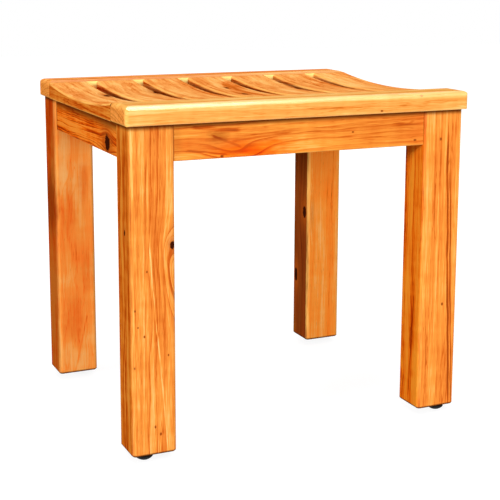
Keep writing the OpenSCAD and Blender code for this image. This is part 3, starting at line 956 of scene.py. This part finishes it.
for corner in CORNERS:
    dress(f"insert_{corner}", BRASS)
    low, high = box_mm(f"foot_stud_{corner}")
    stud_x, stud_y, _ = (low + high) / 2
    stud_radius = (high.x - low.x) / 2
    thread = stud_rings(stud_radius, low.z, high.z)
    stud = lathe(f"threaded_stud_{corner}", thread, STUD_SEGMENTS, stud_x, stud_y, ZINC)
    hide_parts(f"foot_stud_{corner}")
    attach(stud, f"foot_{corner}")
    pad_low, pad_high = box_mm(f"foot_pad_{corner}")
    pad_shape = pad_rings(
        (pad_high.x - pad_low.x) / 2, pad_high.z - pad_low.z, stud_radius + 0.02, pad_high.z - low.z)
    pad = lathe(f"moulded_pad_{corner}", pad_shape, PAD_SEGMENTS, stud_x, stud_y, BLACK)
    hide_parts(f"foot_pad_{corner}")
    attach(pad, f"foot_{corner}")


# Floor, background and light, in metres and watts
WORLD_LIGHT = 0.21
FLOOR_HALF = 6.0
FLOOR_GREY = 0.22
FLOOR_GLOW = 0.89
LAMP_AIM = (0, 0, 0.25)


def white_background():
    """A world that the camera and reflections see white, and that lights the stool less."""
    world = bpy.data.worlds.new("studio")
    scene.world = world
    world.use_nodes = True
    graph = Graph(world.node_tree)
    background = world.node_tree.nodes["Background"]
    path = graph.add("ShaderNodeLightPath").outputs
    seen = graph.highest(path["Is Camera Ray"], path["Is Glossy Ray"], path["Is Transmission Ray"])
    background.inputs["Color"].default_value = (1, 1, 1, 1)
    graph.put(background.inputs["Strength"], graph.spread(seen, 0, 1, WORLD_LIGHT, 1.0))


def floor():
    """A pale floor that takes shadows and glows only as the camera and reflections see it."""
    mesh = bpy.data.meshes.new("floor")
    ends = ((-1, -1), (1, -1), (1, 1), (-1, 1))
    mesh.from_pydata([(x * FLOOR_HALF, y * FLOOR_HALF, 0) for x, y in ends], [], [(0, 1, 2, 3)])
    obj = bpy.data.objects.new("floor", mesh)
    scene.collection.objects.link(obj)
    material, graph, shader = new_material("studio_floor")
    shader.inputs["Base Color"].default_value = (FLOOR_GREY, FLOOR_GREY, FLOOR_GREY, 1)
    shader.inputs["Roughness"].default_value = 0.85
    shader.inputs["Specular IOR Level"].default_value = 0.1
    path = graph.add("ShaderNodeLightPath").outputs
    seen = graph.highest(path["Is Camera Ray"], path["Is Glossy Ray"])
    away = graph.vector("LENGTH", graph.add("ShaderNodeTexCoord").outputs["Object"])
    glow = graph.add("ShaderNodeEmission", {
        "Color": (1, 1, 1, 1), "Strength": graph.times(seen, graph.soft(away, 0.4, 1.1, FLOOR_GLOW, 1.0)),
    })
    both = graph.add("ShaderNodeAddShader")
    graph.put(both.inputs[0], shader.outputs[0])
    graph.put(both.inputs[1], glow.outputs[0])
    graph.put(material.node_tree.nodes["Material Output"].inputs["Surface"], both.outputs[0])
    mesh.materials.append(material)


def softbox(name, azimuth, elevation, distance, size, watts):
    """A rectangular lamp aimed at the stool. Azimuth 0 is in front, and grows to the right."""
    lamp = bpy.data.lights.new(name, "AREA")
    lamp.shape = "RECTANGLE"
    lamp.size, lamp.size_y = size
    lamp.energy = watts
    obj = bpy.data.objects.new(name, lamp)
    turn, rise = math.radians(azimuth), math.radians(elevation)
    away = Vector((math.sin(turn) * math.cos(rise), -math.cos(turn) * math.cos(rise), math.sin(rise)))
    obj.location = Vector(LAMP_AIM) + away * distance
    obj.rotation_euler = (-away).to_track_quat("-Z", "Y").to_euler()
    obj.visible_camera = False
    scene.collection.objects.link(obj)
    return obj


white_background()
floor()
softbox("key", 24, 36, 2.4, (1.1, 0.9), 4.0)
softbox("top", 10, 82, 2.2, (1.6, 1.6), 30.0)
softbox("main", -70, 12, 3.4, (0.45, 0.45), 67.0)
softbox("front", 2, 4, 5.0, (2.2, 0.6), 184.0)
# one lamp only lights, and one only shows in the gloss of the rails
softbox("back", 165, 24, 3.0, (1.4, 0.9), 20.0).visible_glossy = False
softbox("card", -5, 52, 2.2, (2.0, 2.0), 91.0).visible_diffuse = False

# Camera: pixels of the 500 x 500 picture for its lens, millimetres for its place, radians for its turns
PICTURE = 500
FOCAL, PRINCIPAL_Y = 1179.39, 175.0
SENSOR = 36.0
CAMERA_PLACE = (-601.3, -1346.5, 540.0)
HEADING, PITCH, ROLL = -0.4256, -0.1715, -0.0035

lens = bpy.data.cameras.new("camera")
lens.sensor_width = SENSOR
lens.sensor_fit = "HORIZONTAL"
lens.lens = FOCAL / PICTURE * SENSOR
lens.shift_y = (PRINCIPAL_Y - PICTURE / 2) / PICTURE
lens.clip_start, lens.clip_end = 0.05, 50
turns = Matrix.Rotation(HEADING, 3, "Z") @ Matrix.Rotation(PITCH, 3, "X") @ Matrix.Rotation(ROLL, 3, "Y")
right, forward, up = turns.col
camera = bpy.data.objects.new("camera", lens)
camera.matrix_world = (
    Matrix.Translation(Vector(CAMERA_PLACE) * MM) @ Matrix((right, up, -forward)).transposed().to_4x4())
scene.collection.objects.link(camera)
scene.camera = camera

scene.view_settings.view_transform = "Standard"
